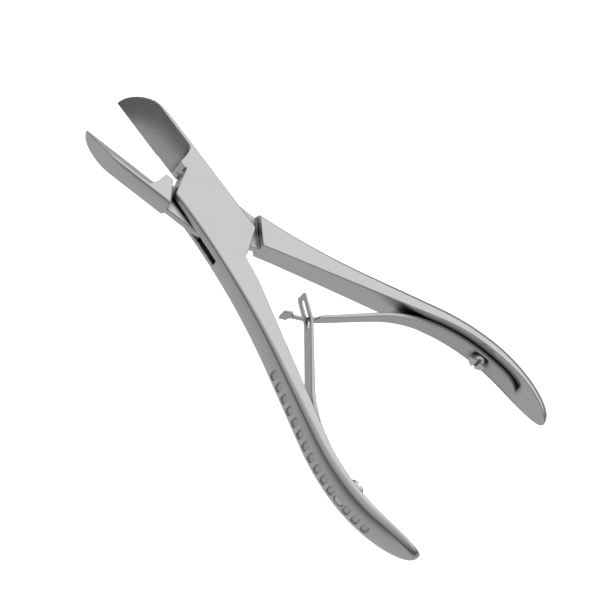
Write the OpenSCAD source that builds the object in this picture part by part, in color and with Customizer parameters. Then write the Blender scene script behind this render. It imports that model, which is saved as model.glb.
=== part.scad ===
// Box-joint cutting nippers with a pair of interlocking leaf springs.
// Each arm is drawn with the jaws shut, its cutting edge on the X axis and the pivot on the Z axis,
// then turned about the pivot to where the springs hold it open. +X runs towards the handles,
// +Y towards the tongue arm's handle, and +Z towards the face with the jaw bevels.

/* [Arms] */
// Distance from the pivot to the tip of the jaws
jaw_len = 39.8; // [38:0.1:42]
// Distance from the pivot to the end of the handles, along the closed tool
handle_len = 103.6; // [102:0.1:106]
// Thickness of the box joint and the jaws
box_t = 7.8; // [7.4:0.1:8.4]
// Half the width of the box at its flat faces
box_half_w = 6.5; // [6.1:0.1:6.9]
// Width of a handle, across its grip
grip_w = 12.3; // [11.3:0.1:13]
// Radius of the rounded outer side, across its width
crown_r = 10.4; // [9.6:0.1:14]
// How far the box arm stands open from the closed line, in degrees
open_box_arm = 9.5; // [6:0.1:9.8]
// How far the tongue arm stands open from the closed line, in degrees
open_tongue_arm = 8; // [6:0.1:8.5]

/* [Jaws] */
// Length of the rounded nose of a jaw
nose_len = 15.5; // [13:0.1:17]
// Half the width of the jaws where the nose ends
nose_half_w = 7; // [6.6:0.1:7]
// How far the ground bevel reaches back from the pivot towards the jaws
bevel_stop = 16.2; // [15.8:0.1:17]
// Width of the bevel, from the cutting edge to the flat face
bevel_w = 5.7; // [5:0.05:6]
// Radius of the corner where the bevel runs out
bevel_corner = 3; // [2:0.1:4]

/* [Box joint] */
// Thickness of the tongue in the slot
tongue_t = 2.5; // [2:0.1:3]
// Clearance between the tongue and each side of the slot
tongue_gap = 0.06; // [0.03:0.01:0.1]
// Radius of the pivot pin
pin_r = 2; // [1.5:0.05:2.4]
// Clearance between the pin and the tongue's bore
pin_gap = 0.05; // [0.02:0.01:0.09]

/* [Leaf springs] */
// Width of a spring where it lies on its handle
leaf_w = 5.8; // [5:0.1:6.5]
// Width of a spring at its tip
leaf_tip_w = 5.2; // [4.6:0.1:5.4]
// Thickness of a spring at its screw
leaf_root_t = 1.4; // [1.2:0.05:1.5]
// Thickness of a spring at its tip
leaf_tip_t = 0.65; // [0.5:0.05:0.8]
// Angle of the box arm's spring to the closed line, in degrees
leaf_angle_box = 39.2; // [38.5:0.1:40]
// Angle of the tongue arm's spring to the closed line, in degrees
leaf_angle_tongue = 43.2; // [42.5:0.1:44]
// Width of the slot in the eye of the box arm's spring
eye_slot_w = 2.05; // [1.95:0.05:2.4]
// Width of the neck behind the tongue arm's spring head
neck_w = 1.6; // [1.4:0.05:1.7]

/* [Screws and grip] */
// Distance of the spring screws from the pivot, along the closed tool
screw_x = 79.6; // [78.6:0.1:80]
// Radius of a screw head
head_r = 2.45; // [2.2:0.05:2.6]
// Height of a screw head
head_h = 1.7; // [1.2:0.1:2]
// Radius of a screw's shank
shank_r = 1.6; // [1.3:0.05:1.7]
// Width of the slot in a screw head
driver_w = 0.8; // [0.6:0.05:1]
// Number of places in the row of grip grooves, one of which the screw takes
groove_count = 15; // [13:1:16]
// Distance from one grip groove to the next
groove_pitch = 3.28; // [3:0.02:3.5]
// Width of a grip groove
groove_w = 1.9; // [1.4:0.1:2]
// Length of a grip groove, across the handle
groove_l = 4.3; // [3:0.1:5]
// Depth of a grip groove
groove_depth = 0.6; // [0.3:0.05:0.7]

/* [Hidden] */
$fn = 64;

steel = [0.74, 0.75, 0.76];
dark_steel = [0.62, 0.63, 0.64];

half_t = box_t / 2;
deep = 30;                                  // more than any arm reaches from its own outline
crown_rise = crown_r - sqrt(crown_r ^ 2 - half_t ^ 2);
box_crown = box_half_w + crown_rise;        // half the box's width at mid thickness
crown_axis = box_crown - crown_r;           // where the crown's centre line lies beside the box

// The outer side of a handle: a hollow arc from the box, a straight run, then two full arcs.
flare_angle = 14.9;
flare_x = -7.8;
flare_r = 195;
flare_end_x = flare_x + flare_r * sin(flare_angle);
flare_end_y = flare_r * (1 - cos(flare_angle));
swell_x = 62.3;
swell_top_x = 78.8;
swell_r = (swell_top_x - swell_x) / sin(flare_angle);
swell_top_y = flare_end_y + (swell_x - flare_end_x) * tan(flare_angle) + swell_r * (1 - cos(flare_angle));
tail_r = 45.7;

// The inner side of a handle: a straight run, then two full arcs.
inner_x = 17.6;
inner_y = 1.35;
inner_angle = 16.5;
inner_bend_x = 64.2;
inner_top_x = 78.5;
inner_bend_r = (inner_top_x - inner_bend_x) / sin(inner_angle);
inner_bend_y = inner_y + (inner_bend_x - inner_x) * tan(inner_angle);
inner_top_y = inner_bend_y + inner_bend_r * (1 - cos(inner_angle));
inner_tail_r = 61;

function inner_side(x) =
    x < inner_bend_x ? inner_y + (x - inner_x) * tan(inner_angle)
    : x < inner_top_x ? inner_top_y - inner_bend_r + sqrt(inner_bend_r ^ 2 - (inner_top_x - x) ^ 2)
    : inner_top_y - inner_tail_r + sqrt(inner_tail_r ^ 2 - (x - inner_top_x) ^ 2);

// Height of the outer side's crest above the box's own crest, and its slope.
function crest_rise(x) =
    x < flare_x ? 0
    : x < flare_end_x ? flare_r - sqrt(flare_r ^ 2 - (x - flare_x) ^ 2)
    : x < swell_x ? flare_end_y + (x - flare_end_x) * tan(flare_angle)
    : x < swell_top_x ? swell_top_y - swell_r + sqrt(swell_r ^ 2 - (swell_top_x - x) ^ 2)
    : swell_top_y - tail_r + sqrt(tail_r ^ 2 - (x - swell_top_x) ^ 2);
function crest(x) = box_crown + crest_rise(x);
function crest_slope(x) = atan((crest_rise(x + 0.1) - crest_rise(x - 0.1)) / 0.2);

// Half the height of an arm: level at the box, swelling to the grip, with a rounded end.
grip_x = 90;                                 // where the handle is at its widest
root_x = 8;
function half_height(x) =
    x < root_x ? half_t
    : x < grip_x ? half_t + (grip_w / 2 - half_t) * (1 - cos(180 * (x - root_x) / (grip_x - root_x))) / 2
    : grip_w / 2 * sqrt(max(0, 1 - ((x - grip_x) / (handle_len - grip_x)) ^ 2));

function steps(from, to, count) = [for (i = [0 : count]) from + (to - from) * i / count];
function flipped(points) = [for (p = points) [p.x, -p.y]];

// The box joint's edges, each on the closed tool.
notch_top = [-14, 0.7];
notch_foot = [-9.06, -8];
cheek_top = [8.16, 8];
cheek_foot = [13.4, 0.3];
fillet_r = 1.8;
fillet_x = 15.3;
left_shoulder_top = [-13.8, -0.9];
left_shoulder_foot = [-10.15, -8];
right_shoulder_top = [9.04, 8];
right_shoulder_foot = [15, 0.45];
shank_gap_box = 0.25;                        // gap from the closed line to the box arm's shank
shank_gap_tongue = 0.45;                     // and to the tongue arm's
edge_end_x = -22;

// A spring: along its handle, bent where it leaves it, straight along its blade, then a turned tip.
seat_gap = 0.05;                             // between parts that bear on each other
press_gap = 0.01;                            // around a pin or screw that is fast in its hole
leaf_end_x = 92.5;
leaf_point_len = 5.5;
lift_x = 64.2;                               // where the spring leaves its handle
lift_r = 34.6;
lift_angle = asin((inner_top_x - lift_x) / inner_bend_r);
blade_len = 18.6;
tip_bend = 15;                               // how much a spring's tip turns in towards the pivot
tip_bend_r = 7;
tip_len = 6.4;
leaf_tip_x = 30;                             // where the spring has tapered to its thinnest
head_flare = 0.9;                            // how gradually the neck widens to the head
head_len = 3;                                // the wide head, measured along the closed tool
eye_bar = 1.4;                               // what closes the eye's slot at the tip
blade_w = 4.2;                               // the tongue arm's spring, ahead of its neck
blade_start_x = 66;                          // where both springs begin to narrow to their blades
leaf_hole_r = shank_r + 0.15;
cross_clear = 0.8;                           // slot and neck reach this far back past the crossing

screw_y = inner_side(screw_x);
screw_tilt = atan((inner_side(screw_x + 0.5) - inner_side(screw_x - 0.5)));
screw_place = 11;                            // the screw's place in the row of grooves, from 0
groove_x = screw_x - screw_place * groove_pitch;

// ---- Blanks shared by the two arms. A handle lies on the +Y side here, a jaw on the -Y side. ----

module crown_bar(from_x, to_x, side) {
    translate([from_x, side * crown_axis, 0])
        rotate([0, 90, 0]) cylinder(r = crown_r, h = to_x - from_x);
}

// The rounded bar that an arm is cut from: a flat back, level faces and a crowned outer side.
module arm_bar() {
    xs = concat([-jaw_len - 1], steps(flare_x, swell_top_x, 30), [grip_x - 6, grip_x],
                [for (a = [12 : 12 : 84]) grip_x + (handle_len - grip_x) * sin(a)], [handle_len - 0.02]);
    crown_steps = 12;
    ring = crown_steps + 3;
    points = [for (x = xs) each concat(
        [[x, -deep / 2, -half_height(x)], [x, -deep / 2, half_height(x)]],
        [for (z = steps(half_height(x), -half_height(x), crown_steps))
            [x, crest(x) - crown_r + sqrt(crown_r ^ 2 - z ^ 2), z]])];
    last = (len(xs) - 1) * ring;
    sides = [for (i = [0 : len(xs) - 2]) for (j = [0 : ring - 1]) for (half = [0, 1])
        let (a = i * ring + j, b = i * ring + (j + 1) % ring)
            half == 0 ? [a, b, b + ring] : [a, b + ring, a + ring]];
    ends = [[for (j = [ring - 1 : -1 : 0]) j], [for (j = [0 : ring - 1]) last + j]];
    polyhedron(points, concat(sides, ends));
}

module slab(points, height = 2 * deep) {
    linear_extrude(height, center = true) polygon(points);
}

function handle_inner(from_x) = [for (x = steps(from_x, handle_len + 1, 40)) [x, inner_side(x)]];
function nose_outline() = concat([for (a = [0 : 6 : 90])
    [-jaw_len + nose_len * (1 - cos(a)), -nose_half_w * sin(a)]], [[-bevel_stop, -box_crown - 0.1]]);

// Cuts the ground bevel of a jaw on the -Y side.
module bevel_cut() {
    slope = atan(box_t / bevel_w);
    face_w = bevel_w / cos(slope);
    corner_h = bevel_corner / cos(slope);
    corner = [for (a = [0 : 10 : 90])
        [-bevel_stop - bevel_corner * (1 - cos(a)), face_w - corner_h * (1 - sin(a))]];
    outline = concat([[-jaw_len - 5, -deep / 2], [-bevel_stop, -deep / 2]], corner,
                     [[-jaw_len - 5, face_w]]);
    mirror([0, 1, 0]) translate([0, 0, -half_t]) rotate([slope, 0, 0])
        linear_extrude(deep / 2) polygon(outline);
}

// Cuts the row of grip grooves and the screw hole of a handle on the +Y side.
module grip_cuts() {
    for (i = [0 : groove_count - 1]) if (i != screw_place) {
        x = groove_x + i * groove_pitch;
        translate([x, crest(x), 0]) rotate([0, 0, crest_slope(x)]) rotate([-90, 0, 0])
            translate([0, 0, -groove_depth]) linear_extrude(3) union() {
                square([groove_w, groove_l - groove_w], center = true);
                for (end = [-1, 1]) translate([0, end * (groove_l - groove_w) / 2])
                    circle(d = groove_w);
            }
    }
    at_screw() translate([0, 0, -deep / 2]) cylinder(r = shank_r + press_gap, h = deep);
}

// Moves to a spring screw's seat on the inner side of a +Y handle, with +Z out of the handle.
module at_screw() {
    translate([screw_x, screw_y, 0]) rotate([0, 0, screw_tilt]) rotate([90, 0, 0]) children();
}

// ---- Arms ----

module box_arm_closed() {
    fillet = [for (a = [175 : 10 : 235])
        [fillet_x + fillet_r * cos(a), 0.15 + fillet_r * sin(a)]];
    outline = concat(
        flipped(nose_outline()),
        [[-14, deep / 2], [cheek_top.x - 4, deep / 2], cheek_top, cheek_foot], fillet,
        flipped(handle_inner(inner_x + 3.4)),
        [[handle_len + 1, -deep], [0, -deep], notch_foot, notch_top, [-14.3, shank_gap_box],
         [edge_end_x, shank_gap_box], [edge_end_x - 0.5, 0]]);
    slot = [[-16, 0.2], [-14.2, 0.75], [-2.5, 5], [0.6, 7.4], [0.6, 12], [deep / 2, 12],
            [16, 0.4], [10.6, -1.98], [10.6, -deep / 2], [-16, -deep / 2]];
    difference() {
        intersection() {
            mirror([0, 1, 0]) arm_bar();
            union() {
                crown_bar(-jaw_len - 1, cheek_foot.x, 1);
                translate([cheek_foot.x - 1, -2 * deep, -deep / 2])
                    cube([2 * handle_len, 2 * deep + 2, deep]);
            }
            slab(outline);
        }
        slab(slot, tongue_t + 2 * tongue_gap);
        for (side = [0, 1]) mirror([0, 0, side]) cheek_relief();
        mirror([0, 1, 0]) bevel_cut();
        mirror([0, 1, 0]) grip_cuts();
        cylinder(r = pin_r + press_gap, h = 2 * box_t, center = true);
    }
}

// The cheeks thin out towards the notch, on the side that the tongue comes in from.
module cheek_relief() {
    translate([0, -4.2, 0]) rotate([90, 0, 0])
        linear_extrude(deep) polygon([[-16, 0], [-16, 3.1], [-0.3, tongue_t / 2], [-0.3, 0]]);
}

module tongue_arm_closed() {
    jaw = concat(nose_outline(), [[-14, -deep / 2], [-12, -deep / 2], left_shoulder_foot,
                 left_shoulder_top, [-14.4, -shank_gap_tongue], [edge_end_x, -shank_gap_tongue],
                 [edge_end_x - 0.5, 0]]);
    handle = concat([[handle_len + 1, deep], [5, deep], right_shoulder_top, right_shoulder_foot],
                    handle_inner(20));
    tongue = [[-14, -0.8], left_shoulder_foot + [-1, 0], [0.3, -8], [1, -6.1], [15.4, 0.6],
              right_shoulder_top + [1, 0], [3.6, 8], [2.6, 6.1]];
    difference() {
        union() {
            intersection() {
                arm_bar();
                slab(handle);
            }
            intersection() {
                crown_bar(-jaw_len - 1, 0, -1);
                crown_bar(-jaw_len - 1, 0, 1);
                slab(jaw, box_t);
            }
            intersection() {
                crown_bar(-20, 20, -1);
                crown_bar(-20, 20, 1);
                slab(tongue, tongue_t);
            }
        }
        bevel_cut();
        grip_cuts();
        cylinder(r = pin_r + pin_gap, h = 2 * box_t, center = true);
    }
}

module box_arm() {
    color(steel) translate([0, 0, half_t]) rotate([0, 0, -open_box_arm]) box_arm_closed();
}

module tongue_arm() {
    color(steel) translate([0, 0, half_t]) rotate([0, 0, open_tongue_arm]) tongue_arm_closed();
}

module pivot_pin() {
    color(dark_steel) cylinder(r = pin_r, h = box_t);
}

// ---- Springs and their screws, for a handle on the +Y side ----

// The spring's middle line from its handle end to its tip, each point with its angle to the X axis.
function leaf_line(angle) =
    let (
        seat = [for (x = steps(leaf_end_x, lift_x, 12)) let (a = inner_slope(x))
            [x, inner_side(x) - leaf_thickness(x) / 2 - seat_gap, a]],
        centre = [lift_x + lift_r * sin(lift_angle),
                  inner_side(lift_x) - leaf_root_t / 2 - seat_gap - lift_r * cos(lift_angle)],
        lift = [for (a = steps(lift_angle, angle, 10))
            [centre.x - lift_r * sin(a), centre.y + lift_r * cos(a), a]],
        foot = lift[10],
        knee = [foot.x - blade_len * cos(angle), foot.y - blade_len * sin(angle)],
        tip_centre = [knee.x - tip_bend_r * sin(angle), knee.y + tip_bend_r * cos(angle)],
        turn_in = [for (a = steps(angle, angle - tip_bend, 5))
            [tip_centre.x + tip_bend_r * sin(a), tip_centre.y - tip_bend_r * cos(a), a]],
        last = turn_in[5],
        tip = [last.x - tip_len * cos(last.z), last.y - tip_len * sin(last.z), last.z]
    )
    concat(seat, [for (i = [1 : 10]) lift[i]], turn_in, [tip]);

function inner_slope(x) = atan((inner_side(x + 0.1) - inner_side(x - 0.1)) / 0.2);
function leaf_thickness(x) =
    leaf_tip_t + (leaf_root_t - leaf_tip_t) * max(0, min(1, (x - leaf_tip_x) / (lift_x - leaf_tip_x)));

module leaf_blank(line) {
    function edge(p, side) = [p.x - side * leaf_thickness(p.x) / 2 * sin(p.z),
                              p.y + side * leaf_thickness(p.x) / 2 * cos(p.z)];
    linear_extrude(2 * leaf_w, center = true)
        polygon(concat([for (p = line) edge(p, 1)],
                       [for (i = [len(line) - 1 : -1 : 0]) edge(line[i], -1)]));
}

// Keeps what lies inside a shape given by [x, half width] pairs from the handle end to the tip.
module leaf_width(pairs) {
    rotate([90, 0, 0]) linear_extrude(4 * deep, center = true)
        polygon(concat([for (p = pairs) p],
                       [for (i = [len(pairs) - 1 : -1 : 0]) [pairs[i].x, -pairs[i].y]]));
}

module leaf_hole() {
    at_screw() cylinder(r = leaf_hole_r, h = 3 * leaf_root_t, center = true);
}

leaf_point = [for (a = steps(0, 90, 9))
    [leaf_end_x - leaf_point_len * (1 - cos(a)), leaf_w / 2 * sin(a)]];

// The box arm's spring ends in a slotted eye.
module eye_spring() {
    line = leaf_line(leaf_angle_box);
    tip = line[len(line) - 1];
    knee = line[len(line) - 7];
    side = leaf_tip_w / 2;
    blade = [[blade_start_x, leaf_w / 2], [52, side]];
    corners = [[tip.x + 0.8, side], [tip.x + 0.24, side - 0.24], [tip.x - 1, side - 1.3]];
    difference() {
        intersection() {
            leaf_blank(line);
            leaf_width(concat(leaf_point, blade, corners));
        }
        leaf_width([[knee.x + cross_clear, eye_slot_w / 2], [tip.x + eye_bar, eye_slot_w / 2]]);
        leaf_hole();
    }
}

// The tongue arm's spring narrows to a neck that passes through the eye, and ends in a wide head.
module head_spring() {
    line = leaf_line(leaf_angle_tongue);
    tip = line[len(line) - 1];
    knee = line[len(line) - 7];
    neck_x = knee.x + cross_clear;
    side = leaf_tip_w / 2;
    blade = [[blade_start_x, leaf_w / 2], [47, blade_w / 2], [neck_x + 0.7, blade_w / 2],
             [neck_x, neck_w / 2]];
    flare = [for (a = [0 : 15 : 90])
        [tip.x + head_len - head_flare * sin(a), neck_w / 2 + (side - neck_w / 2) * (1 - cos(a))]];
    nose = [[tip.x + 0.2, side - 0.15], [tip.x - 0.4, 1.5]];
    difference() {
        intersection() {
            leaf_blank(line);
            leaf_width(concat(leaf_point, blade, flare, nose));
        }
        leaf_hole();
    }
}

module spring_screw() {
    head_foot = leaf_root_t + 3 * seat_gap;      // clears the spring's slight curve
    shank_len = (crest(screw_x) - screw_y) * cos(screw_tilt) - 0.15;
    dome = 1;                                    // height of the head's rounded rim
    rim = [for (a = steps(0, 60, 4))
        [head_r - 0.9 * (1 - cos(a)), head_h - dome + dome * sin(a) / sin(60)]];
    at_screw() difference() {
        union() {
            translate([0, 0, -shank_len]) cylinder(r = shank_r, h = shank_len + head_foot + 0.5);
            translate([0, 0, head_foot]) rotate_extrude()
                polygon(concat([[0, 0], [head_r, 0]], rim, [[0, head_h + 0.1]]));
        }
        translate([-driver_w / 2, -2 * head_r, head_foot + head_h - 0.8])
            cube([driver_w, 4 * head_r, 2 * head_h]);
    }
}

module box_arm_spring() {
    color(steel) place_box_arm() eye_spring();
}

module tongue_arm_spring() {
    color(steel) place_tongue_arm() head_spring();
}

module box_arm_screw() {
    color(dark_steel) place_box_arm() spring_screw();
}

module tongue_arm_screw() {
    color(dark_steel) place_tongue_arm() spring_screw();
}

// Turns a part of a closed arm, drawn with its handle on the +Y side, to where the arm stands open.
module place_box_arm() {
    translate([0, 0, half_t]) rotate([0, 0, -open_box_arm]) mirror([0, 1, 0]) children();
}

module place_tongue_arm() {
    translate([0, 0, half_t]) rotate([0, 0, open_tongue_arm]) children();
}

box_arm();
tongue_arm();
pivot_pin();
box_arm_spring();
tongue_arm_spring();
box_arm_screw();
tongue_arm_screw();
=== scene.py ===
"""Box-joint nippers with interlocking leaf springs: the visual model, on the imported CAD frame.

Lengths are in millimetres until a mesh is made. As in the CAD, each arm is drawn with the jaws shut: the
cutting edge on the X axis, the pivot on the Z axis and the middle of the thickness at z = 0. A shape is
a function of x, y and z that gives the signed distance to its surface, negative inside the steel.
"""

import math

import bpy
import numpy as np
from mathutils import Matrix, Vector


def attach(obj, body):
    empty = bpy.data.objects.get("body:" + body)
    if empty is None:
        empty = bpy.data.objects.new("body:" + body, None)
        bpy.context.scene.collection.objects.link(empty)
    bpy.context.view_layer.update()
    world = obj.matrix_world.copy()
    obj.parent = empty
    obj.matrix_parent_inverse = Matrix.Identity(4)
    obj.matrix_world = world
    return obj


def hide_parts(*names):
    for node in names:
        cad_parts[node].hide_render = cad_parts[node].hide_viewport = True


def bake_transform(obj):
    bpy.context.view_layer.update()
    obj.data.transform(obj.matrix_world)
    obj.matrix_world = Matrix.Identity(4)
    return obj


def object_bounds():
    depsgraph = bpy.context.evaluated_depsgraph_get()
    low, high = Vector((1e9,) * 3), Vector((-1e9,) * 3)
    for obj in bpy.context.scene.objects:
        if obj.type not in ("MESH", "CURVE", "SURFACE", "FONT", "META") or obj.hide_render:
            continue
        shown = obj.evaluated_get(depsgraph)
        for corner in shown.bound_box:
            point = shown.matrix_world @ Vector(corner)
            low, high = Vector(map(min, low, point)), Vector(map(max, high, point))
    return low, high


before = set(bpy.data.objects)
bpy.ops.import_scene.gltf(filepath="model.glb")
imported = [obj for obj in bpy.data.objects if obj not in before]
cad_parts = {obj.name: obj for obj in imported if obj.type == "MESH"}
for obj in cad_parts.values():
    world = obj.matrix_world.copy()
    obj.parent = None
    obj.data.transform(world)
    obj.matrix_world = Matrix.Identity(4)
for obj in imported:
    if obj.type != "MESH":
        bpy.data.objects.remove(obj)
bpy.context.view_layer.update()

MM = 0.001

# ---- Driving sizes: the CAD's, unless a comment says otherwise ----

JAW_LEN = 39.8
HANDLE_LEN = 103.6
HALF_T = 3.9                 # half the thickness of the box and the jaws
BOX_HALF_W = 6.5
GRIP_HALF_W = 6.15
ROOT_X = 8.0                 # where an arm begins to swell
GRIP_X = 90.0                # where it is at its widest
CROWN_R = 10.4
OPEN_BOX_ARM = 9.5           # degrees
OPEN_TONGUE_ARM = 8.0

NOSE_LEN = 15.5
NOSE_HALF_W = 7.0
BEVEL_STOP = 16.2
BEVEL_W = 5.7
BEVEL_CORNER = 3.0
EDGE_END_X = -22.0
SHANK_GAP_BOX = 0.25         # from the closed line to the box arm's shank
SHANK_GAP_TONGUE = 0.45      # and to the tongue arm's

TONGUE_HALF_T = 1.25
TONGUE_GAP = 0.06
PIN_R = 2.0
PIN_GAP = 0.05
PIN_SKIN = 0.8               # not in the CAD: steel left over the pin's ends, so that no ring shows

SCREW_X = 79.6
SCREW_PLACE = 11             # its place in the row of grooves
SHANK_R = 1.6
HEAD_R = 2.45
HEAD_H = 1.7
DRIVER_W = 0.8
PRESS_GAP = 0.01             # around a screw that is fast in its hole
GROOVE_COUNT = 15
GROOVE_PITCH = 3.28
GROOVE_W = 1.9
GROOVE_L = 4.3
GROOVE_DEPTH = 0.6
GROOVE_X = SCREW_X - SCREW_PLACE * GROOVE_PITCH

FLARE_ANGLE = math.radians(14.9)
FLARE_X = -7.8
FLARE_R = 195.0
SWELL_X = 62.3
SWELL_TOP_X = 78.8
TAIL_R = 45.7
INNER_X = 17.6
INNER_Y = 1.35
INNER_ANGLE = math.radians(16.5)
INNER_BEND_X = 64.2
INNER_TOP_X = 78.5
INNER_TAIL_R = 61.0

FAR = 30.0                   # further than any arm reaches from its own outline

# How far edges and corners are rounded, which the CAD leaves sharp.
FACE_ROUND_BOX = 0.4         # where the outer side meets the faces, at the box
FACE_ROUND_GRIP = 1.0        # and along the grip
FACE_ROUND_FROM = 5.0
FACE_ROUND_TO = 65.0
INNER_ROUND_BOX = 0.18       # the edges of the box and of the jaws' inner sides
INNER_ROUND_GRIP = 0.25      # and of the handles' inner sides
INNER_ROUND_FROM = 18.0
INNER_ROUND_TO = 38.0
NOSE_ROUND = 0.3
BEVEL_ROUND = 0.25
CUT_ROUND = 0.12
FOOT_ROUND = 0.15            # corners where the tongue joins the handle and the jaw
LEAF_ROUND = 0.2
EYE_ROUND = 0.15
DRIVER_ROUND = 0.08
FINE_ROUND = 0.1             # the pin's ends, the foot of a screw head and the hole in a spring

box_crown = BOX_HALF_W + CROWN_R - math.sqrt(CROWN_R ** 2 - HALF_T ** 2)
crown_axis = box_crown - CROWN_R

# The outer side of a handle: a hollow arc from the box, a straight run, then two full arcs.
flare_end_x = FLARE_X + FLARE_R * math.sin(FLARE_ANGLE)
flare_end_y = FLARE_R * (1 - math.cos(FLARE_ANGLE))
swell_r = (SWELL_TOP_X - SWELL_X) / math.sin(FLARE_ANGLE)
swell_y = flare_end_y + (SWELL_X - flare_end_x) * math.tan(FLARE_ANGLE)
swell_top_y = swell_y + swell_r * (1 - math.cos(FLARE_ANGLE))

# The inner side of a handle: a straight run, then two full arcs.
inner_bend_r = (INNER_TOP_X - INNER_BEND_X) / math.sin(INNER_ANGLE)
inner_bend_y = INNER_Y + (INNER_BEND_X - INNER_X) * math.tan(INNER_ANGLE)
inner_top_y = inner_bend_y + inner_bend_r * (1 - math.cos(INNER_ANGLE))


def arc_y(x, top_x, top_y, radius):
    """The upper part of a circle whose highest point is (top_x, top_y), level past its two sides."""
    return top_y - radius + np.sqrt(np.maximum(radius ** 2 - (x - top_x) ** 2, 1.0))


def crest(x):
    """Where the outer side of a handle stands at mid thickness."""
    x = np.asarray(x, float)
    hollow = FLARE_R - np.sqrt(np.maximum(FLARE_R ** 2 - np.maximum(x - FLARE_X, 0) ** 2, 1.0))
    straight = flare_end_y + (x - flare_end_x) * math.tan(FLARE_ANGLE)
    swell = arc_y(x, SWELL_TOP_X, swell_top_y, swell_r)
    tail = arc_y(x, SWELL_TOP_X, swell_top_y, TAIL_R)
    where = [x < flare_end_x, x < SWELL_X, x < SWELL_TOP_X]
    return box_crown + np.select(where, [hollow, straight, swell], tail)


def inner_side(x):
    """Where the flat inner side of a handle stands."""
    x = np.asarray(x, float)
    straight = INNER_Y + (x - INNER_X) * math.tan(INNER_ANGLE)
    bend = arc_y(x, INNER_TOP_X, inner_top_y, inner_bend_r)
    tail = arc_y(x, INNER_TOP_X, inner_top_y, INNER_TAIL_R)
    return np.select([x < INNER_BEND_X, x < INNER_TOP_X], [straight, bend], tail)


def slope(line, x):
    """How steep a line is at x."""
    reach = 0.1
    return (line(x + reach) - line(x - reach)) / (2 * reach)


def half_height(x):
    """Half the height of an arm: level at the box, swelling to the grip, with a rounded end."""
    swelling = (1 - np.cos(np.clip((x - ROOT_X) / (GRIP_X - ROOT_X), 0, 1) * math.pi)) / 2
    end = np.clip((x - GRIP_X) / (HANDLE_LEN - GRIP_X), 0, 1)
    return (HALF_T + (GRIP_HALF_W - HALF_T) * swelling) * np.sqrt(1 - end ** 2)


# ---- Signed distances ----

def rounded_max(a, b, r):
    """What lies in both shapes, with the edge between them rounded to radius r."""
    return np.minimum(np.maximum(a, b), -r) + np.hypot(np.maximum(a + r, 0), np.maximum(b + r, 0))


def rounded_min(a, b, r):
    """What lies in either shape, with the corner between them filled to radius r."""
    return -rounded_max(-a, -b, r)


def cut(shape, tool, r=CUT_ROUND):
    """What is left of a shape when a tool is taken away, with the new edge rounded to radius r."""
    return rounded_max(shape, -tool, r)


def outline(points, x, y):
    """Signed distance in the plane to a closed outline."""
    nearest = np.full(np.broadcast(x, y).shape, np.inf)
    inside = np.zeros(nearest.shape, bool)
    for (ax, ay), (bx, by) in zip(points, points[1:] + points[:1]):
        ex, ey = bx - ax, by - ay
        if ex == ey == 0:                    # a point given twice makes no edge
            continue
        wx, wy = x - ax, y - ay
        along = np.clip((wx * ex + wy * ey) / (ex * ex + ey * ey), 0, 1)
        nearest = np.minimum(nearest, np.hypot(wx - ex * along, wy - ey * along))
        inside ^= ((y >= ay) != (y >= by)) & ((ex * wy > ey * wx) == (by > ay))
    return np.where(inside, -nearest, nearest)


def arc(cx, cy, rx, ry, start, end, count):
    """Points round an ellipse, from one angle to another in degrees."""
    angles = [math.radians(start + (end - start) * i / count) for i in range(count + 1)]
    return [(cx + rx * math.cos(a), cy + ry * math.sin(a)) for a in angles]


def surface_net(field):
    """The net where a grid of distances changes sign, as (vertices, quads), in grid cells."""
    strides = np.array([field.shape[1] * field.shape[2], field.shape[2], 1])
    sums = np.zeros((field.size, 3))
    counts = np.zeros(field.size)
    crossings = []
    for axis in range(3):
        first = np.delete(field, -1, axis)
        second = np.delete(field, 0, axis)
        at = np.argwhere((first < 0) != (second < 0))
        at = at[(at > 0).all(axis=1)]
        va = field[tuple(at.T)]
        vb = field[tuple((at + np.eye(3, dtype=int)[axis]).T)]
        place = at.astype(float)
        place[:, axis] += va / (va - vb)
        here = at @ strides
        side_a, side_b = strides[(axis + 1) % 3], strides[(axis + 2) % 3]
        ring = np.stack([here, here - side_a, here - side_a - side_b, here - side_b], axis=1)
        for cells in ring.T:
            np.add.at(sums, cells, place)
            np.add.at(counts, cells, 1)
        entering = va >= 0
        ring[entering] = ring[entering][:, ::-1]
        crossings.append(ring)

    used = np.flatnonzero(counts)
    index = np.full(field.size, -1)
    index[used] = np.arange(len(used))
    return sums[used] / counts[used, None], index[np.concatenate(crossings)]


def sample(field, points):
    """The field at points between its grid points, weighted from the eight round each."""
    base = np.clip(points.astype(int), 0, np.array(field.shape) - 2)
    part = points - base
    total = 0
    for corner in np.ndindex(2, 2, 2):
        weight = np.prod(np.where(corner, part, 1 - part), axis=1)
        total = total + weight * field[tuple((base + corner).T)]
    return total


def gradient(field, points):
    """How steeply the field rises at each point, over one cell each way in x, y and z."""
    reach = np.eye(3) * 0.5
    return np.stack([sample(field, points + step) - sample(field, points - step) for step in reach], axis=1)


SNAP_ROUNDS = 3              # times that the vertices are moved onto the true surface
SNAP_LIMIT = 0.3             # the most that a vertex then moves each way, in cells
TINY = 1e-9                  # keeps a flat spot from dividing by zero


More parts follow.
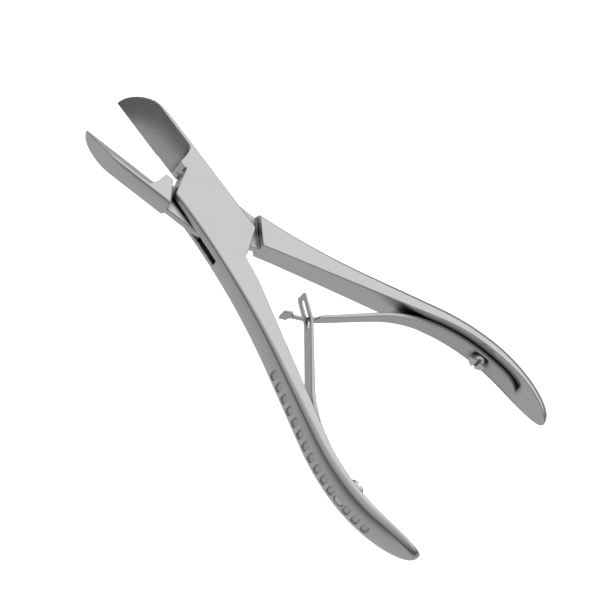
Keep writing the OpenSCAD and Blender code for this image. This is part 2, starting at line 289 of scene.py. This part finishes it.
def surface(shape, low, high, cell):
    """The surface of a shape as (vertices, quads, normals), by surface nets on a grid of cells."""
    axes = [np.arange(low[i], high[i] + cell, cell) for i in range(3)]
    x, y, z = axes[0][:, None, None], axes[1][None, :, None], axes[2][None, None, :]
    field = np.broadcast_to(shape(x, y, z), [len(a) for a in axes]).astype(np.float32)
    vertices, quads = surface_net(field)
    for _ in range(SNAP_ROUNDS):
        rise = gradient(field, vertices)
        steepness = np.maximum((rise ** 2).sum(axis=1), TINY)
        move = rise * (sample(field, vertices) / steepness)[:, None]
        vertices = vertices - np.clip(move, -SNAP_LIMIT, SNAP_LIMIT)
    normals = gradient(field, vertices)
    normals /= np.maximum(np.linalg.norm(normals, axis=1), TINY)[:, None]
    return vertices * cell + low, quads, normals


# ---- Making pieces ----

def placed(opening, flipped):
    """From a closed arm's own frame in millimetres to the row frame in metres."""
    side = -1 if flipped else 1
    turn = Matrix.Rotation(math.radians(side * opening), 4, "Z")
    flip = Matrix.Diagonal((1, side, 1, 1))
    return Matrix.Scale(MM, 4) @ Matrix.Translation((0, 0, HALF_T)) @ turn @ flip


BOX_ARM = placed(OPEN_BOX_ARM, True)
TONGUE_ARM = placed(OPEN_TONGUE_ARM, False)


def piece(name, shape, low, high, cell, place, material):
    """Makes a mesh object of a shape, with its exact normals, and moves it to its place."""
    vertices, quads, normals = surface(shape, np.array(low, float), np.array(high, float), cell)
    matrix = np.array(place)
    turning = matrix[:3, :3] / MM
    vertices = vertices @ matrix[:3, :3].T + matrix[:3, 3]
    normals = normals @ turning.T
    if np.linalg.det(turning) < 0:
        quads = quads[:, ::-1]
    mesh = bpy.data.meshes.new(name)
    mesh.from_pydata(vertices.tolist(), [], quads.tolist())
    mesh.update()
    mesh.polygons.foreach_set("use_smooth", [True] * len(mesh.polygons))
    mesh.normals_split_custom_set_from_vertices(normals.tolist())
    mesh.materials.append(material)
    obj = bpy.data.objects.new(name, mesh)
    bpy.context.collection.objects.link(obj)
    return obj


# ---- Shapes shared by the two arms: the handle on the +Y side, the jaw on the -Y side ----

def low_crown(y, z):
    """The round bar that a jaw's outer side is part of."""
    return np.hypot(y + crown_axis, z) - CROWN_R


def outer_round(x):
    """Radius of the edges of the outer side: crisp at the box, full along the grip."""
    rise = np.clip((x - FACE_ROUND_FROM) / (FACE_ROUND_TO - FACE_ROUND_FROM), 0, 1)
    return FACE_ROUND_BOX + (FACE_ROUND_GRIP - FACE_ROUND_BOX) * rise * rise * (3 - 2 * rise)


def inner_round(x):
    """Radius of the edges of the inner side and of the box's edges."""
    rise = np.clip((x - INNER_ROUND_FROM) / (INNER_ROUND_TO - INNER_ROUND_FROM), 0, 1)
    return INNER_ROUND_BOX + (INNER_ROUND_GRIP - INNER_ROUND_BOX) * rise


STEEPEST = 3                 # slopes above this, at the handle's round end, count as this


def handle_bar(x, y, z):
    """The level faces and the crowned outer side of an arm, without its inner side."""
    outer = np.hypot(y - (crest(x) - CROWN_R), z) - CROWN_R
    outer = outer / np.sqrt(1 + slope(crest, x) ** 2)
    level = np.abs(z) - half_height(x)
    level = level / np.sqrt(1 + np.minimum(slope(half_height, x), STEEPEST) ** 2)
    return rounded_max(outer, level, outer_round(x))


def handle_inner(from_x):
    """The outline of a handle's inner side, from from_x to past its end."""
    return [(x, float(inner_side(x))) for x in np.linspace(from_x, HANDLE_LEN + 1, 50)]


def jaw_bar(x, y, z):
    """The bar that a jaw is cut from: a crowned outer side, a rounded nose and level faces."""
    nose = (arc(-JAW_LEN + NOSE_LEN, 0, NOSE_LEN, NOSE_HALF_W, 180, 270, 24)
            + [(-BEVEL_STOP, -box_crown), (HANDLE_LEN, -box_crown), (HANDLE_LEN, FAR), (-JAW_LEN, FAR)])
    bar = rounded_max(low_crown(y, z), outline(nose, x, y), NOSE_ROUND)
    return rounded_max(bar, np.abs(z) - HALF_T, NOSE_ROUND)


def bevel(x, y, z):
    """The space that the ground bevel takes away."""
    lean = math.atan(2 * HALF_T / BEVEL_W)
    face_w = BEVEL_W / math.cos(lean)
    corner_h = BEVEL_CORNER / math.cos(lean)
    up_face = -y * math.cos(lean) + (z + HALF_T) * math.sin(lean)
    above = y * math.sin(lean) + (z + HALF_T) * math.cos(lean)
    corner = [(-BEVEL_STOP - BEVEL_CORNER * (1 - math.cos(a)), face_w - corner_h * (1 - math.sin(a)))
              for a in np.linspace(0, math.pi / 2, 12)]
    past_tip = -JAW_LEN - 5
    points = [(past_tip, -FAR / 2), (-BEVEL_STOP, -FAR / 2)] + corner + [(past_tip, face_w)]
    return rounded_max(outline(points, x, up_face), -above, BEVEL_ROUND)


def at_screw(x, y):
    """Distances along the handle and out of its outer side, from a spring screw's seat."""
    tilt = math.atan(float(slope(inner_side, SCREW_X)))
    dx, dy = x - SCREW_X, y - float(inner_side(SCREW_X))
    return dx * math.cos(tilt) + dy * math.sin(tilt), -dx * math.sin(tilt) + dy * math.cos(tilt)


def grip_cuts(x, y, z):
    """The row of grip grooves and the screw hole."""
    number = np.clip(np.round((x - GROOVE_X) / GROOVE_PITCH), 0, GROOVE_COUNT - 1)
    middle = GROOVE_X + number * GROOVE_PITCH
    lean = np.arctan(slope(crest, middle))
    dx, dy = x - middle, y - crest(middle)
    along = dx * np.cos(lean) + dy * np.sin(lean)
    out = -dx * np.sin(lean) + dy * np.cos(lean)
    ring = np.hypot(along, np.maximum(np.abs(z) - (GROOVE_L - GROOVE_W) / 2, 0)) - GROOVE_W / 2
    grooves = rounded_max(ring, -out - GROOVE_DEPTH, CUT_ROUND)
    grooves = np.where(number == SCREW_PLACE, FAR, grooves)
    across, _ = at_screw(x, y)
    hole = np.hypot(across, z) - SHANK_R - PRESS_GAP
    return np.minimum(grooves, hole)


# ---- The arms ----

# Corners in plan, with the jaws shut. Both arms are drawn with the jaw on the -Y side, and placing
# the box arm flips it.
CHEEK_TOP = (8.16, -8)
CHEEK_FOOT = (13.4, -0.3)
NOTCH_TOP = (-14, -0.7)
NOTCH_FOOT = (-9.06, 8)
LEFT_SHOULDER_FOOT = (-10.15, -8)
LEFT_SHOULDER_TOP = (-13.8, -0.9)
RIGHT_SHOULDER_TOP = (9.04, 8)
RIGHT_SHOULDER_FOOT = (15, 0.45)
CROTCH = (15.3, -0.15)                       # centre of the hollow between a cheek and its handle
CROTCH_R = 1.8
BOX_ARM_INNER_X = 21.0                       # where each handle's inner side begins
TONGUE_ARM_INNER_X = 20.0

RELIEF_X = -0.3                              # the cheeks thin out from here to the notch
RELIEF_LEN = 15.7
RELIEF_HALF_T = 3.1                          # half the slot's thickness at the end of that length
RELIEF_Y = 4.2


def box_slot(x, y, z):
    """The slot that the tongue passes through."""
    plan = [(-16, -0.2), (-14.2, -0.75), (-2.5, -5), (0.6, -7.4), (0.6, -12), (FAR / 2, -12),
            (16, -0.4), (10.6, 1.98), (10.6, FAR / 2), (-16, FAR / 2)]
    return np.maximum(outline(plan, x, y), np.abs(z) - TONGUE_HALF_T - TONGUE_GAP)


def cheek_relief(x, y, z):
    """The slot's widening towards the notch, on the side that the tongue comes in from."""
    thinning = (RELIEF_HALF_T - TONGUE_HALF_T) / RELIEF_LEN
    relief = (np.abs(z) - TONGUE_HALF_T - (RELIEF_X - x) * thinning) / math.hypot(1, thinning)
    return np.maximum(np.maximum(relief, x - RELIEF_X), RELIEF_Y - y)


def box_arm(x, y, z):
    """The upper jaw, the slotted box and the lower handle."""
    past_tip = -JAW_LEN - 1
    crotch = arc(CROTCH[0], CROTCH[1], CROTCH_R, -CROTCH_R, 175, 235, 8)
    plan = ([(past_tip, -FAR / 2), (CHEEK_TOP[0] - 4, -FAR / 2), CHEEK_TOP, CHEEK_FOOT]
            + crotch + handle_inner(BOX_ARM_INNER_X)
            + [(HANDLE_LEN + 1, FAR), (0, FAR), NOTCH_FOOT, NOTCH_TOP, (-14.3, -SHANK_GAP_BOX),
               (EDGE_END_X, -SHANK_GAP_BOX), (EDGE_END_X - 0.5, 0), (past_tip, 0)])
    jaw_side = np.where(x < CHEEK_FOOT[0], jaw_bar(x, y, z), -FAR)
    shape = np.maximum(handle_bar(x, y, z), jaw_side)
    shape = rounded_max(shape, outline(plan, x, y), inner_round(x))
    for tool in (box_slot, cheek_relief, bevel, grip_cuts):
        shape = cut(shape, tool(x, y, z))
    bore = np.maximum(np.hypot(x, y) - PIN_R - PIN_GAP, np.abs(z) - HALF_T + PIN_SKIN)
    return np.maximum(shape, -bore)


def tongue_arm(x, y, z):
    """The lower jaw, the tongue and the upper handle."""
    past_tip = -JAW_LEN - 1
    handle_plan = ([(HANDLE_LEN + 1, FAR), (5, FAR), RIGHT_SHOULDER_TOP, RIGHT_SHOULDER_FOOT]
                   + handle_inner(TONGUE_ARM_INNER_X))
    jaw_plan = [(past_tip, -FAR / 2), (-15, -FAR / 2), LEFT_SHOULDER_FOOT, LEFT_SHOULDER_TOP,
                (-14.4, -SHANK_GAP_TONGUE), (EDGE_END_X, -SHANK_GAP_TONGUE), (EDGE_END_X - 0.5, 0),
                (past_tip, 0)]
    tongue_plan = [(-14, -0.8), (LEFT_SHOULDER_FOOT[0] - 1, LEFT_SHOULDER_FOOT[1]), (0.3, -8),
                   (1, -6.1), (15.4, 0.6), (RIGHT_SHOULDER_TOP[0] + 1, RIGHT_SHOULDER_TOP[1]),
                   (3.6, 8), (2.6, 6.1)]
    handle = rounded_max(handle_bar(x, y, z), outline(handle_plan, x, y), inner_round(x))
    jaw = rounded_max(jaw_bar(x, y, z), outline(jaw_plan, x, y), INNER_ROUND_BOX)
    jaw = cut(jaw, bevel(x, y, z))
    tongue = rounded_max(outline(tongue_plan, x, y), np.abs(z) - TONGUE_HALF_T, CUT_ROUND)
    tongue = np.maximum(tongue, np.maximum(low_crown(y, z), low_crown(-y, z)))
    shape = rounded_min(rounded_min(handle, tongue, FOOT_ROUND), jaw, FOOT_ROUND)
    shape = np.maximum(shape, PIN_R + PIN_GAP - np.hypot(x, y))
    return cut(shape, grip_cuts(x, y, z))


# ---- Springs ----

LEAF_HALF_W = 2.9
LEAF_TIP_HALF_W = 2.6
LEAF_ROOT_T = 1.4
LEAF_TIP_T = 0.65
LEAF_ANGLE_BOX = math.radians(39.2)
LEAF_ANGLE_TONGUE = math.radians(43.2)
SEAT_GAP = 0.05
LEAF_HOLE_GAP = 0.1          # around the screw, in the spring's hole
LEAF_END_X = 92.5
LEAF_POINT_LEN = 5.5
LIFT_X = 64.2                # where a spring leaves its handle
LIFT_R = 34.6
BLADE_LEN = 18.6
BLADE_START_X = 66.0         # where both springs begin to narrow to their blades
BOX_BLADE_X = 52.0           # and where each has narrowed
TONGUE_BLADE_X = 47.0
TIP_BEND = math.radians(15)
TIP_BEND_R = 7.0
TIP_LEN = 6.4
TIP_X = 30.0                 # where a spring has tapered to its thinnest
HEAD_LEN = 3.0
HEAD_FLARE = 0.9
EYE_BAR = 1.4
EYE_HALF_SLOT = 1.025
NECK_HALF_W = 0.8
BLADE_HALF_W = 2.1
CROSS_CLEAR = 0.8
lift_angle = math.asin((INNER_TOP_X - LIFT_X) / inner_bend_r)


def leaf_thickness(x):
    """A spring's thickness, which tapers from where it leaves its handle."""
    return LEAF_TIP_T + (LEAF_ROOT_T - LEAF_TIP_T) * np.clip((x - TIP_X) / (LIFT_X - TIP_X), 0, 1)


def leaf_line(angle):
    """A spring's middle line from its handle end to its tip, as (x, y, angle), and its knee's x."""
    line = []
    for x in np.linspace(LEAF_END_X, LIFT_X, 13):
        seat_y = inner_side(x) - leaf_thickness(x) / 2 - SEAT_GAP
        line.append((x, seat_y, math.atan(slope(inner_side, x))))
    lift_cx = LIFT_X + LIFT_R * math.sin(lift_angle)
    lift_cy = inner_side(LIFT_X) - LEAF_ROOT_T / 2 - SEAT_GAP - LIFT_R * math.cos(lift_angle)
    for a in np.linspace(lift_angle, angle, 13)[1:]:
        line.append((lift_cx - LIFT_R * math.sin(a), lift_cy + LIFT_R * math.cos(a), a))
    knee_x = line[-1][0] - BLADE_LEN * math.cos(angle)
    knee_y = line[-1][1] - BLADE_LEN * math.sin(angle)
    bend_cx = knee_x - TIP_BEND_R * math.sin(angle)
    bend_cy = knee_y + TIP_BEND_R * math.cos(angle)
    for a in np.linspace(angle, angle - TIP_BEND, 7):
        line.append((bend_cx + TIP_BEND_R * math.sin(a), bend_cy - TIP_BEND_R * math.cos(a), a))
    x, y, a = line[-1]
    line.append((x - TIP_LEN * math.cos(a), y - TIP_LEN * math.sin(a), a))
    return [tuple(map(float, p)) for p in line], knee_x


def leaf(x, y, z, line, widths):
    """A spring of the given middle line; widths are (x, half width) from its handle end to its tip."""
    def edge(side):
        points = []
        for px, py, a in line:
            half = side * leaf_thickness(px) / 2
            points.append((px - half * math.sin(a), py + half * math.cos(a)))
        return points

    blank = outline(edge(1) + edge(-1)[::-1], x, y)
    plan = outline(widths + [(px, -w) for px, w in widths[::-1]], x, z)
    across, _ = at_screw(x, y)
    hole = np.hypot(across, z) - SHANK_R - LEAF_HOLE_GAP
    return cut(rounded_max(blank, plan, LEAF_ROUND), hole, FINE_ROUND)


leaf_point = [(LEAF_END_X - LEAF_POINT_LEN * (1 - math.cos(a)), LEAF_HALF_W * math.sin(a))
              for a in np.linspace(0, math.pi / 2, 12)]


def box_arm_spring(x, y, z):
    """The spring whose tip is an eye: a slot closed by a bar."""
    line, knee_x = leaf_line(LEAF_ANGLE_BOX)
    tip_x = line[-1][0]
    side = LEAF_TIP_HALF_W
    widths = leaf_point + [(BLADE_START_X, LEAF_HALF_W), (BOX_BLADE_X, side), (tip_x + 0.8, side),
                           (tip_x + 0.24, side - 0.24), (tip_x - 1, side - 1.3)]
    slot_length = np.maximum(x - knee_x - CROSS_CLEAR, tip_x + EYE_BAR - x)
    slot = np.maximum(slot_length, np.abs(z) - EYE_HALF_SLOT)
    return cut(leaf(x, y, z, line, widths), slot, EYE_ROUND)


def tongue_arm_spring(x, y, z):
    """The spring whose tip is a wide head behind a narrow neck."""
    line, knee_x = leaf_line(LEAF_ANGLE_TONGUE)
    tip_x = line[-1][0]
    neck_x = knee_x + CROSS_CLEAR
    side = LEAF_TIP_HALF_W
    blade = [(BLADE_START_X, LEAF_HALF_W), (TONGUE_BLADE_X, BLADE_HALF_W), (neck_x + 0.7, BLADE_HALF_W)]
    flare = [(tip_x + HEAD_LEN - HEAD_FLARE * math.sin(a),
              NECK_HALF_W + (side - NECK_HALF_W) * (1 - math.cos(a)))
             for a in np.linspace(0, math.pi / 2, 8)]
    nose = [(tip_x + 0.2, side - 0.15), (tip_x - 0.4, 1.5)]
    return leaf(x, y, z, line, leaf_point + blade + [(neck_x, NECK_HALF_W)] + flare + nose)


# ---- The pin and the screws ----

def pivot_pin(x, y, z):
    """The pin through the joint, under the ground skin of the box's two faces."""
    return rounded_max(np.hypot(x, y) - PIN_R, np.abs(z) - HALF_T + PIN_SKIN, FINE_ROUND)


HEAD_DOME = 0.1              # how far the middle of a screw head stands above its rim
HEAD_ROUND = 0.6
DRIVER_DEPTH = 0.8
SHANK_ROUND = 0.25           # the round of a shank's end, which lies as deep below the crest
SHANK_IN_HEAD = 0.6


def spring_screw(x, y, z):
    """A slotted screw: its head on the spring, its shank end flush with the outer side."""
    across, depth = at_screw(x, y)
    out = -depth - LEAF_ROOT_T - 3 * SEAT_GAP          # how far out from the foot of the head
    radius = np.hypot(across, z)
    head_top = out - HEAD_H - HEAD_DOME * (1 - (radius / HEAD_R) ** 2)
    head = rounded_max(rounded_max(radius - HEAD_R, head_top, HEAD_ROUND), -out, FINE_ROUND)
    driver = np.maximum(np.abs(across) - DRIVER_W / 2, HEAD_H - DRIVER_DEPTH - out)
    head = cut(head, driver, DRIVER_ROUND)
    shank_top = float(crest(SCREW_X) - inner_side(SCREW_X)) - SHANK_ROUND
    shank = rounded_max(radius - SHANK_R, depth - shank_top, SHANK_ROUND)
    return np.minimum(head, np.maximum(shank, out - SHANK_IN_HEAD))


# ---- Materials ----

ROUGHNESS_GRAIN = 0.03       # how much the fine grain varies the roughness, either way
BUMP_STRENGTH = 0.012
BUMP_DEPTH = 0.0002          # metres
PAINTED_SHADE_REACH = 0.002         # metres; painted shade darkens recesses and gaps narrower than this


def steel(name, tone, roughness, grain=1.0):
    """Satin steel: soft mottling, a fine grain in its roughness and bump, and painted shade darkening its
    recesses.
    """
    material = bpy.data.materials.new(name)
    material.use_nodes = True
    nodes, links = material.node_tree.nodes, material.node_tree.links
    shader = nodes["Principled BSDF"]
    shader.inputs["Metallic"].default_value = 1.0
    place = nodes.new("ShaderNodeTexCoord")

    def noise(scale, detail, stretch=(1, 1, 1)):
        mapping = nodes.new("ShaderNodeMapping")
        mapping.inputs["Scale"].default_value = stretch
        links.new(place.outputs["Object"], mapping.inputs["Vector"])
        texture = nodes.new("ShaderNodeTexNoise")
        texture.inputs["Scale"].default_value = scale
        texture.inputs["Detail"].default_value = detail
        links.new(mapping.outputs["Vector"], texture.inputs["Vector"])
        return texture.outputs["Fac"]

    def ranged(value, low, high, from_low=0.0, from_high=1.0):
        node = nodes.new("ShaderNodeMapRange")
        node.inputs["From Min"].default_value = from_low
        node.inputs["From Max"].default_value = from_high
        node.inputs["To Min"].default_value = low
        node.inputs["To Max"].default_value = high
        links.new(value, node.inputs["Value"])
        return node.outputs["Result"]

    mottle = noise(scale=120, detail=3)
    fine = noise(scale=900, detail=3, stretch=(0.25, 1, 1))
    colour = nodes.new("ShaderNodeMix")
    colour.data_type = "RGBA"
    colour.inputs["A"].default_value = (tone * 0.95, tone * 0.965, tone * 0.97, 1)
    colour.inputs["B"].default_value = (tone * 0.985, tone, tone * 1.01, 1)
    links.new(mottle, colour.inputs["Factor"])
    # Painted shade: an ambient occlusion node darkens the base colour in grooves, recesses and the gaps
    # between parts, where shade falls.
    painted_recess_shade = nodes.new("ShaderNodeAmbientOcclusion")
    painted_recess_shade.samples = 8
    painted_recess_shade.inputs["Distance"].default_value = PAINTED_SHADE_REACH
    shade = nodes.new("ShaderNodeMix")
    shade.data_type = "RGBA"
    shade.blend_type = "MULTIPLY"
    shade.inputs["Factor"].default_value = 1
    links.new(colour.outputs["Result"], shade.inputs["A"])
    painted_shade_factor = ranged(painted_recess_shade.outputs["AO"], low=0.05, high=1.0, from_low=0.35, from_high=0.95)
    links.new(painted_shade_factor, shade.inputs["B"])
    links.new(shade.outputs["Result"], shader.inputs["Base Color"])
    spread = ROUGHNESS_GRAIN * grain
    links.new(ranged(fine, roughness - spread, roughness + spread), shader.inputs["Roughness"])
    bump = nodes.new("ShaderNodeBump")
    bump.inputs["Strength"].default_value = BUMP_STRENGTH * grain
    bump.inputs["Distance"].default_value = BUMP_DEPTH
    links.new(fine, bump.inputs["Height"])
    links.new(bump.outputs["Normal"], shader.inputs["Normal"])
    return material


forged = steel("forged_steel", tone=0.72, roughness=0.27)
spring_steel = steel("spring_steel", tone=0.64, roughness=0.26, grain=0.7)
screw_steel = steel("screw_steel", tone=0.8, roughness=0.28, grain=0.7)

# ---- Building ----

# The lowest corner, highest corner and cell of the grid that each kind of piece is meshed on.
ARM_GRID = ((-JAW_LEN - 1, -8, -7), (HANDLE_LEN + 1, 29, 7), 0.25)
LEAF_GRID = ((28, -11, -3.4), (94, 21, 3.4), 0.15)
SCREW_GRID = ((75, 8, -3), (84, 28, 3), 0.1)
PIN_GRID = ((-3, -3, -5), (3, 3, 5), 0.1)


def make(name, node, shape, grid, place, material):
    """Makes a piece that stands for a CAD node."""
    made = piece(name, shape, *grid, place, material)
    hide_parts(node)
    return made


for arm, place, forging, leaf_shape in (("box_arm", BOX_ARM, box_arm, box_arm_spring),
                                        ("tongue_arm", TONGUE_ARM, tongue_arm, tongue_arm_spring)):
    forged_arm = make(f"{arm}_forging", arm, forging, ARM_GRID, place, forged)
    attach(forged_arm, arm)
    screw = make(f"{arm}_spring_screw", f"{arm}_screw", spring_screw, SCREW_GRID, place,
                 screw_steel)
    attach(screw, arm)
    spring = make(f"{arm}_leaf_spring", f"{arm}_spring", leaf_shape, LEAF_GRID, place,
                  spring_steel)
    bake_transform(spring)
pin = make("flush_pivot_pin", "pivot_pin", pivot_pin, PIN_GRID, BOX_ARM, forged)
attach(pin, "box_arm")

# ---- Floor ----

FLOOR_SIZE = 6                               # metres
FLOOR_MIDDLE_X = 0.03
bpy.ops.mesh.primitive_plane_add(size=FLOOR_SIZE, location=(FLOOR_MIDDLE_X, 0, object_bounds()[0].z))
floor = bpy.context.object
floor.name = "floor"
paper = bpy.data.materials.new("pale_floor")
paper.use_nodes = True
paper_inputs = paper.node_tree.nodes["Principled BSDF"].inputs
paper_inputs["Base Color"].default_value = (0.9, 0.9, 0.9, 1)
paper_inputs["Roughness"].default_value = 0.9
paper_inputs["Emission Color"].default_value = (1, 1, 1, 1)
paper_inputs["Emission Strength"].default_value = 1.1
floor.visible_glossy = False                 # the steel mirrors the studio only, not the floor
floor.data.materials.append(paper)

# ---- Camera ----

# The camera stands TILT off the pivot's axis, towards -Y. ROLL turns the picture about the line of
# sight, and TURN turns the camera about the pivot's axis.
TURN = math.radians(0.2)
TILT = math.radians(31)
ROLL = math.radians(44.5)
right = Vector((math.cos(ROLL), math.sin(ROLL) * math.cos(TILT), math.sin(ROLL) * math.sin(TILT)))
up = Vector((-math.sin(ROLL), math.cos(ROLL) * math.cos(TILT), math.cos(ROLL) * math.sin(TILT)))
back = Vector((0, -math.sin(TILT), math.cos(TILT)))
CAMERA_AWAY = 1.0
SENSOR_WIDTH = 36
FRAME_WIDTH = 0.15645                        # what the frame takes in at the point that it aims at
aim = Vector((0.0317, -0.0015, 0.0079))
camera_data = bpy.data.cameras.new("camera")
camera_data.sensor_width = SENSOR_WIDTH
camera_data.lens = SENSOR_WIDTH * CAMERA_AWAY / FRAME_WIDTH
camera = bpy.data.objects.new("camera", camera_data)
facing = Matrix.Rotation(TURN, 3, "Z") @ Matrix((right, up, back)).transposed()
camera.matrix_world = Matrix.Translation(aim + facing.col[2] * CAMERA_AWAY) @ facing.to_4x4()
bpy.context.collection.objects.link(camera)
bpy.context.scene.camera = camera

# ---- Light ----

def ramp(nodes, stops):
    """A grey colour ramp through (position, brightness) stops."""
    node = nodes.new("ShaderNodeValToRGB")
    node.color_ramp.interpolation = "EASE"
    elements = node.color_ramp.elements
    while len(elements) < len(stops):
        elements.new(0.5)                    # its own place is set below
    for element, (position, level) in zip(elements, stops):
        element.position = position
        element.color = (level, level, level, 1)
    return node


def studio():
    """A soft light tent: grey on the near side, bright beyond the tool, and dark along the horizon."""
    world = bpy.data.worlds.new("studio")
    world.use_nodes = True
    nodes, links = world.node_tree.nodes, world.node_tree.links
    place = nodes.new("ShaderNodeTexCoord")
    axes = nodes.new("ShaderNodeSeparateXYZ")
    links.new(place.outputs["Generated"], axes.inputs["Vector"])

    def unit(socket):                        # takes -1 to 0, and 1 to 1
        node = nodes.new("ShaderNodeMapRange")
        node.inputs["From Min"].default_value = -1
        links.new(socket, node.inputs["Value"])
        return node.outputs["Result"]

    near = ramp(nodes, [(0.0, 0.46), (0.3, 0.42), (0.42, 0.2), (0.5, 0.07), (0.6, 0.1),
                        (0.75, 0.3), (1.0, 0.5)])
    beyond = ramp(nodes, [(0.0, 0.5), (0.38, 0.4), (0.5, 0.08), (0.6, 0.3), (0.76, 0.9), (1.0, 0.86)])
    height = unit(axes.outputs["Z"])
    links.new(height, near.inputs["Fac"])
    links.new(height, beyond.inputs["Fac"])
    side = ramp(nodes, [(0.48, 0.0), (0.68, 1.0)])
    links.new(unit(axes.outputs["Y"]), side.inputs["Fac"])
    light = nodes.new("ShaderNodeMix")
    light.data_type = "RGBA"
    links.new(side.outputs["Color"], light.inputs["Factor"])
    links.new(near.outputs["Color"], light.inputs["A"])
    links.new(beyond.outputs["Color"], light.inputs["B"])
    links.new(light.outputs["Result"], nodes["Background"].inputs["Color"])
    nodes["Background"].inputs["Strength"].default_value = 1.0
    bpy.context.scene.world = world


studio()
bpy.context.scene.view_settings.view_transform = "Standard"
